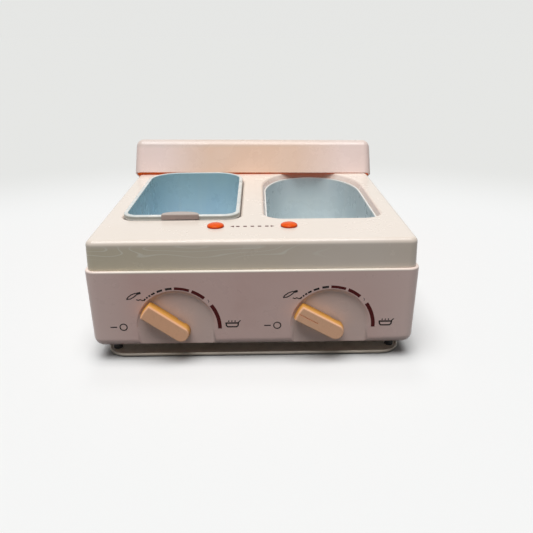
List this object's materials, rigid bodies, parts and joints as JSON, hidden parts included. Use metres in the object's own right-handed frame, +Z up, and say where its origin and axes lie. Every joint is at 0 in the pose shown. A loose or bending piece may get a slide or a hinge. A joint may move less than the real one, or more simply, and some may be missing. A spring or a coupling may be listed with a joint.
{
  "type": "wax heater",
  "caption": "Plastic wax heater with a lift-out tank beside an oval pot, rotary dial thermostats, lamps and a loose lid propped behind.",
  "frame": {"origin": "centre of the whole object's footprint on the table, with the propped lid counted", "axes": "+Z up, +Y from the dials towards the back, +X to the right when facing the dials"},
  "size_m": [0.335, 0.6136, 0.1768],
  "materials": {
    "cover_plastic": "glossy moulded, pale peach",
    "housing_plastic": "glossy moulded, pale dusty pink",
    "lid_plastic": "glossy moulded, peach pink",
    "knob_plastic": "satin moulded, apricot",
    "tank_enamel": "pale blue lacquer",
    "pot_enamel": "pale grey-blue lacquer",
    "grip_plastic": "satin, greyish pink",
    "lamp_lens": "clear glossy orange",
    "bare_aluminium": "drawn, bare",
    "plated_steel": "zinc plated",
    "heater_foil": "foil clad, heat tinted",
    "glass_wool": "felted",
    "capillary_copper": "bare copper",
    "nut_brass": "turned",
    "black_rubber": "matte",
    "inlet_plastic": "satin black",
    "switch_plastic": "cream moulded"
  },
  "bodies": {
    "housing": {"upper_housing": "cover_plastic", "lower_housing": "housing_plastic", "bottom_plate": "plated_steel", "base_pan": "housing_plastic", "spacer_front_left": "black_rubber", "spacer_front_right": "black_rubber", "spacer_back_left": "black_rubber", "spacer_back_right": "black_rubber", "pad_front_left": "black_rubber", "pad_front_right": "black_rubber", "pad_back_left": "black_rubber", "pad_back_right": "black_rubber", "tie_screw_front_left": "plated_steel", "tie_screw_front_right": "plated_steel", "tie_screw_back_left": "plated_steel", "tie_screw_back_right": "plated_steel", "plate_screw_front_left": "plated_steel", "plate_screw_front_right": "plated_steel", "plate_screw_back_left": "plated_steel", "plate_screw_back_right": "plated_steel", "left_well": "bare_aluminium", "right_well": "pot_enamel", "left_heater_band": "heater_foil", "right_heater_band": "heater_foil", "left_insulation": "glass_wool", "right_insulation": "glass_wool", "left_well_support": "plated_steel", "right_well_support": "plated_steel", "left_sensor_bulb": "capillary_copper", "right_sensor_bulb": "capillary_copper", "left_capillary": "capillary_copper", "right_capillary": "capillary_copper", "left_thermostat": "switch_plastic", "right_thermostat": "switch_plastic", "left_thermostat_nut": "nut_brass", "right_thermostat_nut": "nut_brass", "left_lamp_lens": "lamp_lens", "right_lamp_lens": "lamp_lens", "left_lamp_holder": "switch_plastic", "right_lamp_holder": "switch_plastic", "mains_inlet": "inlet_plastic", "terminal_block": "switch_plastic"},
    "knob_left": {"left_knob": "knob_plastic", "left_shaft": "plated_steel"},
    "knob_right": {"right_knob": "knob_plastic", "right_shaft": "plated_steel"},
    "wax_tank": {"wax_tank": "tank_enamel", "tank_grip": "grip_plastic"},
    "lid": {"lid": "lid_plastic"}
  },
  "joints": [
    {"name": "left_dial_turn", "type": "hinge", "parent": "housing", "child": "knob_left", "pos_m": [-0.07801, -0.295, 0.0381], "axis": [0, 1, 0], "range_deg": [-36, 144]},
    {"name": "right_dial_turn", "type": "hinge", "parent": "housing", "child": "knob_right", "pos_m": [0.07799, -0.295, 0.0381], "axis": [0, 1, 0], "range_deg": [-29.5, 150.5]},
    {"name": "tank_lift", "type": "slide", "parent": "housing", "child": "wax_tank", "axis": [0, 0, 1], "range_m": [0, 0.12]},
    {"name": "lid_lift", "type": "slide", "parent": "housing", "child": "lid", "axis": [0, 0, 1], "range_m": [0, 0.2]}
  ]
}
